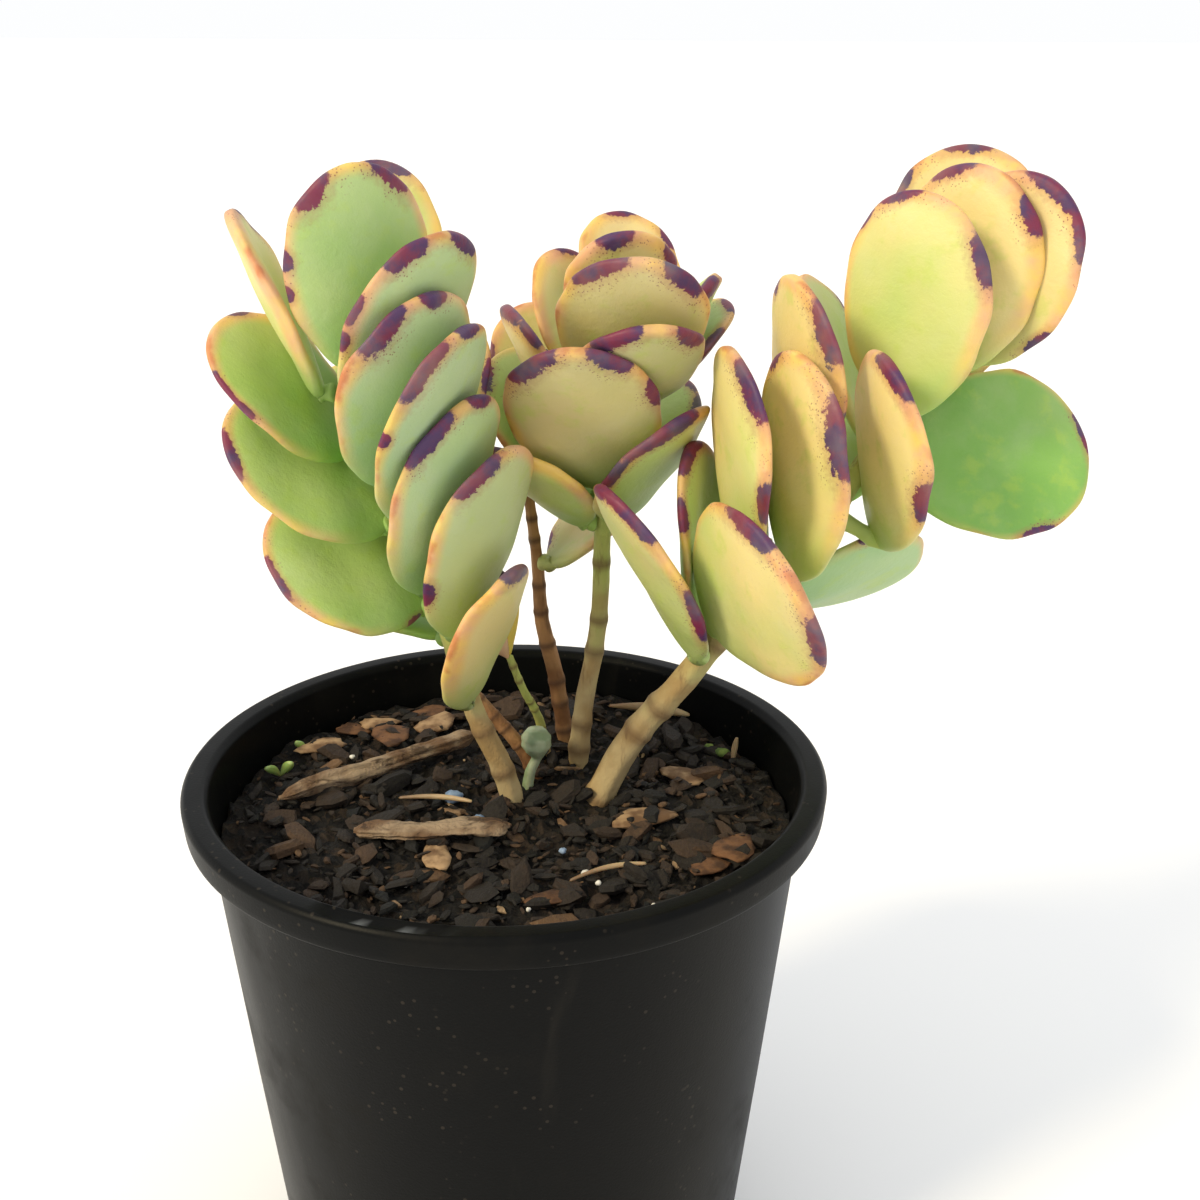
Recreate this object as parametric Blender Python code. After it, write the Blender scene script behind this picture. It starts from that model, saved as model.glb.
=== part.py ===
"""A small leafy succulent in a round black nursery pot, filled with bark potting mix.

Three main stems rise from the middle of the pot and carry thick, round, cupped leaves.
Sizes are in millimetres and degrees; the meshes are written in metres, +Z up.
The origin is the middle of the pot's underside. The plant's best side faces -Y.
"""

import math

import bmesh
import bpy
import numpy as np

MM = 0.001
GAP = 0.3  # clearance between pieces that touch on the real object

# Pot: a 140 mm nursery pot, turned about Z
POT_HEIGHT = 130.0
POT_TAPER = 0.102  # radius lost per millimetre of depth
WALL_TOP_RADIUS = 65.6
WALL = 1.4
FLOOR = 2.0
RIM_RADIUS = 70.0
RIM_INNER_RADIUS = 65.0
RIM_SKIRT = 7.0
RIM_THICKNESS = 1.5
POT_SIDES = 60
DRAIN_HOLES = 8
DRAIN_RADIUS = 4.5
DRAIN_CIRCLE = 37.0
LABEL_SLOT_DEPTH = 0.7
LABEL_SLOT_START = 243.0  # headings of the slot in the rim's top face
LABEL_SLOT_END = 264.0

# Soil: fills the pot to a little under the rim
SOIL_TOP = 117.0
SOIL_SLOPE = 0.035  # the mix lies a little higher at the back
SOIL_BUMP = 0.8
SOIL_SIDES = 40
SOCKET_REACH = 8.0  # how far above the mix a stem's socket is cut

# Leaves
LEAF_THICKNESS = 4.4
LEAF_CUP = 2.2  # how far the margins rise above the middle of the blade
STALK_RADIUS = 1.7

# Settling: crowded leaves swing about their feet until they part
SETTLING_ROUNDS = 90
DEEPEST = 7.0  # the most that one leaf counts as pressed into another
STEM_MARGIN = 0.5  # extra room between a blade and a stem
NEIGHBOUR_REACH = 46.0  # leaves whose middles are further apart than this never meet
LEAF_PUSH = 1.2e-4  # swing for each square millimetre of overlap and lever
STEM_PUSH = 5e-4
LARGEST_SWING = 0.03  # radians in one round
LEAF_FULLNESS = 0.10  # how far the widest part sits towards the tip
LEAF_PEAK = 0.955  # the outline's largest value before scaling
LEAF_EDGE = 0.35  # how blunt the blade's foot and tip are
LEAF_RINGS = (28, 52, 78, 104, 128, 150, 168)  # stations along the blade, 0 at its foot, 180 at its tip
LEAF_SIDES = 8

# Stems: the points that each one passes through, then its radius at foot and at tip
STEMS = {
    "left_stem": (((3, 6, 98), (0, 5, 122), (-6, 3, 138), (-10, 2, 152), (-14, 1, 167), (-20, 0, 182),
                   (-26, -1, 200), (-29, -2, 208), (-31, -1, 214)), 2.6, 1.6),
    "centre_stem": (((15, 23, 97), (16, 23, 127), (20, 22, 152), (21, 21, 175), (22, 20, 195),
                     (24, 18, 216), (26, 17, 230)), 2.5, 1.3),
    "right_stem": (((12, 10, 97), (26, 7, 130), (37, 3, 146), (46, 1, 160), (56, 4, 172), (68, 9, 183),
                    (79, 14, 198), (87, 20, 213), (91, 23, 224)), 3.6, 1.6),
    "back_stem": (((14, 37, 97), (11, 36, 130), (7, 34, 150), (6, 33, 166), (4, 32, 184)), 2.2, 1.2),
    "weak_stem": (((10, 30, 98), (7, 24, 127), (3, 17, 140), (0, 14, 150)), 1.2, 0.8),
    "stub_stem": (((10, 20, 98), (5, 20, 118), (0, 20, 127), (-8, 21, 136), (-13, 22, 143)), 1.9, 1.5),
    "sprout": (((3, 14, 98), (4, 14, 118), (6, 14, 124)), 1.4, 1.3),
}
STEM_SIDES = 10
SPROUT_BALL_RADIUS = 3.7

# Leaves: where the blade's foot is, which way the leaf points (heading, rise), how it is turned
# about its own length, and its length and width. Heading 0 is +X, 90 is +Y, 270 faces -Y.
LEAVES = {
    "left_stem": (
        ((-9, -3, 145), 313, 65, 18, 40, 26),
        ((-13, 5, 158), 150, 20, 0, 36, 28),
        ((-15, 1, 168), 205, 49, -43, 38, 33),
        ((-10, -4, 162), 322, 77, 5, 46, 33),
        ((-16, -6, 172), 322, 68, 7, 46, 35),
        ((-13, 7, 172), 100, 62, 0, 38, 32),
        ((-22, 0, 185), 195, 56, -38, 40, 34),
        ((-18, -5, 188), 327, 70, 10, 47, 35),
        ((-20, 7, 186), 120, 60, 0, 40, 34),
        ((-23, -7, 196), 315, 75, 5, 44, 34),
        ((-31, 2, 200), 190, 58, -42, 37, 31),
        ((-25, -8, 209), 326, 80, 0, 43, 33),
        ((-22, 6, 196), 60, 52, 0, 34, 30),
        ((-25, -9, 217), 283, 80, 0, 42, 31),
        ((-36, -1, 213), 230, 84, -30, 40, 30),
        ((-31, 8, 216), 98, 84, 0, 44, 31),
    ),
    "centre_stem": (
        ((25, 18, 181), 313, 58, 4, 36, 32),
        ((17, 18, 180), 238, 50, -5, 30, 28),
        ((25, 25, 182), 55, 50, 0, 36, 32),
        ((20, 14, 190), 266, 64, -6, 43, 34),
        ((18, 25, 184), 130, 55, 0, 38, 32),
        ((24, 15, 205), 300, 60, -6, 36, 29),
        ((15, 21, 194), 188, 64, 20, 36, 30),
        ((22, 14, 210), 269, 60, 0, 38, 32),
        ((27, 21, 205), 15, 62, 0, 32, 28),
        ((21, 23, 206), 135, 66, 0, 34, 28),
        ((29, 15, 218), 285, 64, 0, 29, 25),
        ((30, 19, 213), 350, 66, 0, 26, 24),
        ((28, 22, 221), 90, 68, 0, 29, 24),
    ),
    "right_stem": (
        ((41, -4, 157), 191, 72, 8, 46, 30),
        ((43, 4, 159), 130, 80, 25, 42, 28),
        ((44, -6, 164), 286, 36, -65, 42, 42),
        ((48, 3, 163), 40, -4, -65, 39, 33),
        ((49, -6, 177), 176, 80, 22, 46, 35),
        ((56, 10, 177), 150, 76, 15, 42, 32),
        ((58, 4, 170), 48, -8, -33, 42, 34),
        ((62, -5, 175), 178, 75, 28, 48, 37),
        ((63, 4, 192), 169, 84, 28, 44, 34),
        ((67, 13, 184), 75, 40, 0, 36, 32),
        ((82, -4, 180), 172, 82, 20, 44, 34),
        ((83, 9, 194), 14, 3, 52, 43, 40),
        ((80, 16, 198), 145, 64, 10, 42, 30),
        ((82, 5, 206), 174, 89, 56, 46, 35),
        ((88, 22, 206), 60, 30, 0, 34, 30),
        ((93, 12, 214), 172, 94, 60, 43, 34),
        ((96, 17, 217), 354, 74, 55, 42, 34),
        ((99, 29, 218), 84, 74, -5, 42, 36),
    ),
    "back_stem": (
        ((9, 31, 165), 20, 42, 0, 28, 25),
        ((8, 36, 190), 95, 80, 0, 36, 24),
    ),
}

# Wood that lies on the mix: points along each piece (the third is the height of its middle above the
# mix), then its width and thickness
WOOD = {
    "long_twig": (((-51, 0, 1.6), (-42, 9, 2.2), (-31, 16, 2.6), (-19, 25, 2.8), (-9, 33, 3.2)), 5.0, 4.2),
    "split_bark": (((-33, -10, 1.4), (-21, -12, 2.0), (-8, -12, 2.0), (1, -9, 1.4)), 7.0, 2.6),
}


def point_on_outline(angle):
    """Half-width of the leaf, as a share of its widest, at a station from 0 (foot) to pi (tip)."""
    return math.sin(angle) * ((1.0 - math.cos(angle)) / 2.0) ** LEAF_FULLNESS / LEAF_PEAK


def smooth_path(points, count):
    """Resample a line through the points as a Catmull-Rom curve of `count` points."""
    knots = np.array(points, float)
    ends = np.vstack([2 * knots[0] - knots[1], knots, 2 * knots[-1] - knots[-2]])
    out = []
    for t in np.linspace(0, len(knots) - 1 - 1e-9, count):
        i = int(t)
        f = t - i
        a, b, c, d = ends[i : i + 4]
        out.append(0.5 * (2 * b + (c - a) * f + (2 * a - 5 * b + 4 * c - d) * f**2
                          + (3 * b - a - 3 * c + d) * f**3))
    return np.array(out)


def unit(vector):
    """The vector at length one."""
    return vector / np.linalg.norm(vector)


def add_piece(name, verts, faces, colour, roughness, smooth=True):
    """Make one named object with its own material from points in millimetres."""
    mesh = bpy.data.meshes.new(name)
    mesh.from_pydata((np.asarray(verts) * MM).tolist(), [], faces)
    if smooth:
        mesh.shade_smooth()
        mesh.set_sharp_from_angle(angle=math.radians(40))
    piece = bpy.data.objects.new(name, mesh)
    bpy.context.collection.objects.link(piece)
    material = bpy.data.materials.new(name + "_material")
    material.use_nodes = True
    shader = material.node_tree.nodes["Principled BSDF"]
    shader.inputs["Base Color"].default_value = (*colour, 1.0)
    shader.inputs["Roughness"].default_value = roughness
    mesh.materials.append(material)
    return piece


def add_cutter(name, verts, faces, target):
    """Cut a closed shape out of the target, and keep the shape as a hidden wire."""
    cutter = add_piece(name, verts, faces, (0.8, 0.1, 0.1), 0.5, smooth=False)
    cutter.hide_render = True
    cutter.display_type = "WIRE"
    cut = target.modifiers.new(name, "BOOLEAN")
    cut.operation = "DIFFERENCE"
    cut.solver = "EXACT"
    cut.object = cutter


def skin_rings(rings):
    """Faces of a closed tube through rings of equal size, with flat ends."""
    count = len(rings)
    sides = len(rings[0])
    verts = np.concatenate(rings)
    faces = []
    for i in range(count - 1):
        for j in range(sides):
            k = (j + 1) % sides
            faces.append((i * sides + j, i * sides + k, (i + 1) * sides + k, (i + 1) * sides + j))
    faces.append(tuple(reversed(range(sides))))
    faces.append(tuple(range((count - 1) * sides, count * sides)))
    return verts, faces


def tube(path, radii, sides, lean=(0.0, -1.0, 0.0)):
    """Rings of a round tube along a path, square to it."""
    rings = []
    turn = np.arange(sides) * 2 * math.pi / sides
    across = np.array(lean)
    for i, centre in enumerate(path):
        along = unit(path[min(i + 1, len(path) - 1)] - path[max(i - 1, 0)])
        across = unit(across - along * (across @ along))
        side = np.cross(along, across)
        rings.append(centre + radii[i] * (np.outer(np.cos(turn), across) + np.outer(np.sin(turn), side)))
    return rings


def turned(profile, sides):
    """Turn an outline of (radius, height) points about Z. Its two ends lie on the axis."""
    angles = np.arange(sides) * 2 * math.pi / sides
    verts = [(0.0, 0.0, profile[0][1])]
    for radius, height in profile[1:-1]:
        verts += [(radius * math.cos(a), radius * math.sin(a), height) for a in angles]
    verts.append((0.0, 0.0, profile[-1][1]))
    faces = []
    rows = len(profile) - 2
    for j in range(sides):
        k = (j + 1) % sides
        faces.append((0, 1 + k, 1 + j))
        for i in range(rows - 1):
            low = 1 + i * sides
            faces.append((low + j, low + k, low + sides + k, low + sides + j))
        last = 1 + (rows - 1) * sides
        faces.append((last + j, last + k, len(verts) - 1))
    return verts, faces


def wall_radius(height):
    """Outer radius of the pot's tapered wall at a height."""
    return WALL_TOP_RADIUS - POT_TAPER * (POT_HEIGHT - height)


def build_pot():
    """The pot: wall, floor with drain holes, and a rim turned out and down, with a label slot."""
    base = wall_radius(0)
    under_rim = POT_HEIGHT - RIM_THICKNESS
    skirt_foot = POT_HEIGHT - RIM_SKIRT
    profile = (
        (0, 0),
        (base - 2.5, 0),
        (base, 2.5),
        (wall_radius(under_rim), under_rim),
        (RIM_RADIUS - 2.2, under_rim),
        (RIM_RADIUS - 2.2, skirt_foot),
        (RIM_RADIUS - 0.6, skirt_foot),
        (RIM_RADIUS, POT_HEIGHT - 1.0),
        (RIM_RADIUS - 0.9, POT_HEIGHT),
        (RIM_INNER_RADIUS + 0.3, POT_HEIGHT),
        (wall_radius(POT_HEIGHT) - WALL, POT_HEIGHT - 1.2),
        (base - WALL + 0.3, FLOOR + 2.0),
        (base - WALL - 1.5, FLOOR),
        (0, FLOOR),
    )
    pot = add_piece("nursery_pot", *turned(profile, POT_SIDES), (0.012, 0.013, 0.014), 0.42)
    verts = []
    faces = []
    for i in range(DRAIN_HOLES):
        heading = (i + 0.5) * 2 * math.pi / DRAIN_HOLES
        centre = np.array((math.cos(heading), math.sin(heading), 0.0)) * DRAIN_CIRCLE
        path = np.array((centre + (0, 0, -2.0), centre + (0, 0, FLOOR + 3.0)))
        ring_verts, ring_faces = skin_rings(tube(path, (DRAIN_RADIUS, DRAIN_RADIUS), 12))
        faces += [tuple(v + len(verts) for v in face) for face in ring_faces]
        verts += list(ring_verts)
    add_cutter("drain_hole_cutter", verts, faces, pot)
    headings = np.radians(np.linspace(LABEL_SLOT_START, LABEL_SLOT_END, 9))
    slot = []
    for heading in headings:
        out = np.array((math.cos(heading), math.sin(heading), 0.0))
        low = np.array((0.0, 0.0, POT_HEIGHT - LABEL_SLOT_DEPTH))
        high = np.array((0.0, 0.0, POT_HEIGHT + 2.0))
        inner = out * (RIM_INNER_RADIUS + 0.7)
        outer = out * (RIM_RADIUS - 1.3)
        slot.append(np.array((inner + low, inner + high, outer + high, outer + low)))
    add_cutter("label_slot_cutter", *skin_rings(slot), pot)


def soil_height(x, y):
    """Height of the uneven top of the potting mix."""
    wave = math.sin(x * 0.21 + 0.6) * math.cos(y * 0.17) + 0.6 * math.sin(x * 0.09 - y * 0.23)
    return SOIL_TOP + SOIL_SLOPE * y + SOIL_BUMP * wave


def build_soil():
    """The potting mix: it fills the pot, with a socket for each stem that goes down into it."""
    base = wall_radius(0) - WALL - 1.5 - GAP
    low_wall = wall_radius(FLOOR + 2.0) - WALL - GAP
    top_wall = wall_radius(SOIL_TOP) - WALL - GAP - 0.1
    angles = np.arange(SOIL_SIDES) * 2 * math.pi / SOIL_SIDES
    verts = [(0.0, 0.0, FLOOR + GAP)]
    rows = [(base, FLOOR + GAP), (low_wall, FLOOR + 2.4), (top_wall, None)]
    rows += [(top_wall * share, None) for share in (0.85, 0.65, 0.42, 0.2)]
    for radius, height in rows:
        for a in angles:
            x = radius * math.cos(a)
            y = radius * math.sin(a)
            verts.append((x, y, soil_height(x, y) if height is None else height))
    verts.append((0.0, 0.0, soil_height(0, 0)))
    faces = []
    for j in range(SOIL_SIDES):
        k = (j + 1) % SOIL_SIDES
        faces.append((0, 1 + k, 1 + j))
        for i in range(len(rows) - 1):
            low = 1 + i * SOIL_SIDES
            faces.append((low + j, low + k, low + SOIL_SIDES + k, low + SOIL_SIDES + j))
        last = 1 + (len(rows) - 1) * SOIL_SIDES
        faces.append((last + j, last + k, len(verts) - 1))
    soil = add_piece("potting_soil", verts, faces, (0.035, 0.022, 0.014), 0.95, smooth=False)
    for name in STEMS:
        path, radii = stem_path(name)
        below = path[: 1 + np.count_nonzero(path[:, 2] < SOIL_TOP + SOCKET_REACH)]
        below[0] += GAP * unit(below[0] - below[1])
        sizes = radii[: len(below)] + GAP
        add_cutter(name + "_socket", *skin_rings(tube(below, sizes, STEM_SIDES)), soil)


def stem_path(name):
    """Centre line of a stem, and its radius at each point."""
    points, foot_radius, tip_radius = STEMS[name]
    count = 2 * len(points) + 1
    path = smooth_path(points, count)
    radii = np.linspace(foot_radius, tip_radius, count)
    return path, radii


def build_stems():
    """The stems, each one round and tapered. The sprout ends in its ball-shaped first leaf."""
    for name in STEMS:
        path, radii = stem_path(name)
        rings = tube(path, radii, STEM_SIDES)
        colour = (0.30, 0.33, 0.16)
        if name == "sprout":
            top = path[-1]
            for share in (-0.75, -0.3, 0.3, 0.75, 0.97):
                size = SPROUT_BALL_RADIUS * math.sqrt(1.0 - share**2)
                centre = top + np.array((0.0, 0.0, SPROUT_BALL_RADIUS * (1.2 + share)))
                rings += tube(np.array((centre, centre + (0, 0, 0.1))), (size, size), STEM_SIDES)[:1]
            colour = (0.42, 0.50, 0.33)
        add_piece(name, *skin_rings(rings), colour, 0.6)


def build_wood():
    """Twig and bark pieces that lie on the mix, each one an uneven flattened rod with blunt ends."""
    for name, (points, width, thickness) in WOOD.items():
        lifted = [(x, y, soil_height(x, y) + SOIL_BUMP + GAP + lift) for x, y, lift in points]
        path = smooth_path(lifted, 3 * len(points))
        steps = np.linspace(0.0, 1.0, len(path))
        swell = 0.5 * (0.62 + 0.38 * np.sin(math.pi * steps) ** 0.5 + 0.10 * np.sin(9.0 * steps + width))
        rings = tube(path, swell, STEM_SIDES, lean=(0.0, 0.0, 1.0))
        for ring, centre in zip(rings, path):
            offset = ring - centre
            upright = offset[:, 2:3] * thickness * np.array((0.0, 0.0, 1.0))
            ring[:] = centre + offset * (width, width, 0.0) + upright
        add_piece(name, *skin_rings(rings), (0.22, 0.15, 0.09), 0.9)


class Leaf:
    """One leaf: a rigid blade on a short stalk that swings about its foot on the stem."""

    def __init__(self, name, stem, row):
        foot, heading, rise, roll, self.length, self.width = row
        self.name = name
        heading, rise, roll = np.radians((heading, rise, roll))
        ahead = np.array((math.cos(heading), math.sin(heading), 0.0))
        along = math.cos(rise) * ahead + math.sin(rise) * np.array((0.0, 0.0, 1.0))
        level = np.array((-math.sin(heading), math.cos(heading), 0.0))
        over = np.cross(along, level)
        across = math.cos(roll) * level + math.sin(roll) * over
        self.axes = np.array((along, across, np.cross(along, across)))
        self.blade = np.array(foot, float)
        path, radii = stem_path(stem)
        fine = smooth_path(path, 200)
        nearest = np.argmin(np.linalg.norm(fine - self.blade, axis=1))
        radius = np.interp(nearest, (0, 199), (radii[0], radii[-1]))
        out = self.blade - fine[nearest]
        reach = max(np.linalg.norm(out), radius + GAP + 0.9)
        out = unit(out)
        self.blade = fine[nearest] + out * reach
        self.foot = fine[nearest] + out * (radius + GAP)
        self.stalk = out
        self.core = list(STEMS).index(stem)
        self.samples = self.surface_samples()

    def half_thickness(self, angle):
        """Half the blade's thickness on its middle line at a station."""
        return LEAF_THICKNESS / 2 * max(math.sin(angle), 0.0) ** LEAF_EDGE

    def section(self, angle, sides):
        """A ring of the blade in its own frame: a cupped lens across the leaf."""
        x = self.length * (0.5 - 0.5 * math.cos(angle))
        half = self.width / 2 * point_on_outline(angle)
        turn = np.arange(sides) * 2 * math.pi / sides
        y = half * np.cos(turn)
        z = self.half_thickness(angle) * np.sin(turn) + LEAF_CUP * (2 * y / self.width) ** 2
        return np.stack((np.full(sides, x), y, z), axis=-1)

    def surface_samples(self):
        """Points all over both faces of the blade, in its own frame."""
        rings = [self.section(math.radians(a), 14) for a in range(25, 176, 15)]
        rings.append(np.array(((self.length, 0.0, 0.0),)))
        return np.concatenate(rings)

    def world(self, points):
        """Points of the blade's own frame, in the model."""
        return self.blade + points @ self.axes

    def depth_inside(self, points):
        """How deep points lie in the blade or past it, and the side of the blade that they belong on."""
        local = (points - self.blade) @ self.axes.T
        x, y, z = local.T
        cosine = np.clip(1 - 2 * x / self.length, -1, 1)
        sine = np.sqrt(1 - cosine**2)
        half = self.width / 2 * sine * ((1 - cosine) / 2) ** LEAF_FULLNESS / LEAF_PEAK + 0.6
        across = np.clip(1 - (y / np.maximum(half, 0.1)) ** 2, 0, 1)
        thick = LEAF_THICKNESS / 2 * sine**LEAF_EDGE * np.sqrt(across) + GAP
        off = z - LEAF_CUP * (2 * y / self.width) ** 2
        within = (across > 0) & (x > 0) & (x < self.length)
        if not within.any():
            return np.zeros(len(points)), 1.0
        side = 1.0 if off[within].mean() > 0 else -1.0
        depth = np.where(within, np.clip(thick - side * off, 0.0, DEEPEST), 0.0)
        return depth, side

    def swing(self, turn):
        """Turn the whole leaf about its foot by a small rotation vector."""
        angle = np.linalg.norm(turn)
        if angle < 1e-7:
            return
        k = turn / angle
        cross = np.array(((0, -k[2], k[1]), (k[2], 0, -k[0]), (-k[1], k[0], 0)))
        rotate = np.eye(3) + math.sin(angle) * cross + (1 - math.cos(angle)) * cross @ cross
        self.axes = self.axes @ rotate.T
        self.blade = self.foot + rotate @ (self.blade - self.foot)
        self.stalk = rotate @ self.stalk

    def step_off(self, path, radii):
        """Move the whole leaf away from its stem's centre line by as much as it reaches into the stem."""
        points = np.concatenate(self.rings())
        apart = points[:, None] - path[None]
        distance = np.linalg.norm(apart, axis=2)
        near = distance.argmin(axis=1)
        short = radii[near] + 0.8 * GAP - distance.min(axis=1)
        if short.max() > 0:
            at = np.linalg.norm(path - self.foot, axis=1).argmin()
            away = unit(self.foot - path[at]) * short.max()
            self.foot = self.foot + away
            self.blade = self.blade + away

    def rings(self):
        """The stalk's rings, then the blade's."""
        out = []
        gap = self.blade - self.foot
        if np.linalg.norm(gap) > 2.0:
            path = np.array((self.foot, self.foot + gap * 0.55))
            out += tube(path, (STALK_RADIUS, STALK_RADIUS), LEAF_SIDES, lean=self.axes[1])
        middle = unit(unit(gap) + self.axes[0])
        start = self.blade if out else self.foot + unit(gap) * 0.2
        across = unit(self.axes[1] - middle * (self.axes[1] @ middle))
        normal = np.cross(middle, across)
        turn = np.arange(LEAF_SIDES) * 2 * math.pi / LEAF_SIDES
        out.append(start + STALK_RADIUS * (1.1 * np.outer(np.cos(turn), across)
                                           + 0.9 * np.outer(np.sin(turn), normal)))
        for degrees in LEAF_RINGS:
            out.append(self.world(self.section(math.radians(degrees), LEAF_SIDES)))
        return out


def settle(leaves):
    """Let crowded leaves push each other aside: each one swings about its foot until they part."""
    cores = []
    for name in STEMS:
        path, radii = stem_path(name)
        cores.append((smooth_path(path, 60), np.interp(np.linspace(0, 1, 60), (0, 1), (radii[0], radii[-1]))))
    for _ in range(SETTLING_ROUNDS):
        turns = [np.zeros(3) for _ in leaves]
        clouds = [leaf.world(leaf.samples) for leaf in leaves]
        centres = np.array([cloud.mean(axis=0) for cloud in clouds])
        for i, leaf in enumerate(leaves):
            for j, other in enumerate(leaves):
                if i == j or np.linalg.norm(centres[i] - centres[j]) > NEIGHBOUR_REACH:
                    continue
                depth, way = other.depth_inside(clouds[i])
                if depth.max() <= 0:
                    continue
                push = (depth * way)[:, None] * other.axes[2]
                turns[i] += np.cross(clouds[i] - leaf.foot, push).sum(axis=0) * LEAF_PUSH
                turns[j] -= np.cross(clouds[i] - other.foot, push).sum(axis=0) * LEAF_PUSH
            for path, radii in cores:
                apart = clouds[i][:, None] - path[None]
                distance = np.linalg.norm(apart, axis=2)
                near = distance.argmin(axis=1)
                rows = np.arange(len(near))
                depth = np.maximum(radii[near] + GAP + STEM_MARGIN - distance[rows, near], 0)
                push = depth[:, None] * apart[rows, near] / np.maximum(distance[rows, near], 0.1)[:, None]
                turns[i] += np.cross(clouds[i] - leaf.foot, push).sum(axis=0) * STEM_PUSH
        for leaf, turn in zip(leaves, turns):
            size = np.linalg.norm(turn)
            leaf.swing(turn if size < LARGEST_SWING else turn * LARGEST_SWING / size)
            leaf.step_off(*cores[leaf.core])


def build_leaves():
    """Every leaf on every stem, settled clear of its neighbours."""
    leaves = []
    for stem, rows in LEAVES.items():
        shoot = stem.split("_")[0]
        leaves += [Leaf(f"{shoot}_leaf_{i + 1:02d}", stem, row) for i, row in enumerate(rows)]
    settle(leaves)
    for leaf in leaves:
        add_piece(leaf.name, *skin_rings(leaf.rings()), (0.52, 0.60, 0.25), 0.5)


for old in list(bpy.data.objects):
    bpy.data.objects.remove(old)
build_pot()
build_soil()
build_stems()
build_wood()
build_leaves()
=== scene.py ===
"""A small leafy succulent in a round black nursery pot of bark potting mix.

Lengths are in metres, or in millimetres where a name or comment says mm.
"""

import math

import bpy
import numpy as np
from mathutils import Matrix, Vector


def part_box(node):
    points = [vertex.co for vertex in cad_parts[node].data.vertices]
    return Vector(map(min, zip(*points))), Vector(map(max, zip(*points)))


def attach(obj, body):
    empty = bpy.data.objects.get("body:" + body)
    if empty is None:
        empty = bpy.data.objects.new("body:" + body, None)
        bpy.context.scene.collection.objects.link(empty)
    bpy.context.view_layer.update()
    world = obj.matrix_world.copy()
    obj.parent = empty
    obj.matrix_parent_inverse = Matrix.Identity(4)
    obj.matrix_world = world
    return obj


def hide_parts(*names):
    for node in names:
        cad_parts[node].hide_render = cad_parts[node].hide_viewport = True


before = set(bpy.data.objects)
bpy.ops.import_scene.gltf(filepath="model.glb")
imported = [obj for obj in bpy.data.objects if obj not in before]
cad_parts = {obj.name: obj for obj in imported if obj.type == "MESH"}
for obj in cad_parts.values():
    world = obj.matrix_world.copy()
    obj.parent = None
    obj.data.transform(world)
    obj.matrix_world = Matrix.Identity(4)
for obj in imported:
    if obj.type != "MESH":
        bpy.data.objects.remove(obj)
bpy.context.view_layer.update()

# ---------------------------------------------------------------- leaves
# Thick, waxy, round leaves, each on a short stalk. The living blade is green in the shade and
# pale yellow where sun has bleached it, with an orange margin that carries dark purple dashes.

MM = 0.001
LEAF_SIDES = 40
BLADE_STATIONS = 46
LEAF_HALF_THICKNESS = 2.15 * MM
LEAF_CUP = 2.2 * MM
STALK_RADIUS = 1.75 * MM
STALK_RINGS = 6
STALK_SINK = 1.2 * MM
TIP_FULLNESS = 0.10
OUTLINE_PEAK = 0.955
FIRST_STATION = 13.0
LAST_STATION = 178.5
EDGE_ROUNDNESS = 0.85
THICKNESS_SPREAD = 0.42
FURROW_DEPTH = 0.42 * MM
END_STATION = math.radians(168.0)
WIDEST_STATION = math.radians(104.0)


def outline(station):
    """Half-width as a share of the widest: the sine of the station, fuller towards the tip."""
    return np.sin(station) * ((1.0 - np.cos(station)) / 2.0) ** TIP_FULLNESS / OUTLINE_PEAK


def node_points(name):
    """The separate corners of a CAD node, as an array."""
    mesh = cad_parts[name].data
    flat = np.empty(len(mesh.vertices) * 3, np.float32)
    mesh.vertices.foreach_get("co", flat)
    return np.unique(flat.reshape(-1, 3).astype(float).round(6), axis=0)


def node_edges(name):
    """Both ends of every triangle side of a CAD node."""
    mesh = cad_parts[name].data
    mesh.calc_loop_triangles()
    corners = np.empty(len(mesh.loop_triangles) * 3, np.int32)
    mesh.loop_triangles.foreach_get("vertices", corners)
    flat = np.empty(len(mesh.vertices) * 3, np.float32)
    mesh.vertices.foreach_get("co", flat)
    corners = flat.reshape(-1, 3).astype(float)[corners.reshape(-1, 3)]
    return np.concatenate([corners[:, (0, 1)], corners[:, (1, 2)], corners[:, (2, 0)]])


def spine(name, count, axis=2):
    """Centre line and radius of a rod: the middle and the narrow half-width of level slices."""
    edges = node_edges(name)
    low, high = edges[..., axis].min(), edges[..., axis].max()
    centres = []
    radii = []
    for level in np.linspace(low + 0.02 * (high - low), high - 0.02 * (high - low), count):
        start, end = edges[:, 0], edges[:, 1]
        run = end[:, axis] - start[:, axis]
        cuts = (start[:, axis] - level) * (end[:, axis] - level) < 0
        share = (level - start[cuts, axis]) / run[cuts]
        points = np.unique((start[cuts] + share[:, None] * (end[cuts] - start[cuts])).round(6), axis=0)
        middle = (points.min(axis=0) + points.max(axis=0)) / 2
        centres.append(middle)
        around = np.delete(points - middle, axis, axis=1)
        radii.append(np.linalg.norm(around, axis=1).min())
    return np.array(centres), np.array(radii)


def unit(vector):
    """The vector at length one."""
    return vector / np.linalg.norm(vector)


SHOOTS = ("left_stem", "centre_stem", "right_stem", "back_stem", "weak_stem", "stub_stem", "sprout")
STEM_LINES = {name: spine(name, 40) for name in SHOOTS}


def stem_line_of(leaf):
    """The centre line of the stem that a leaf grows on, found from the leaf's name."""
    return STEM_LINES[leaf.split("_")[0] + "_stem"][0]


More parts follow.
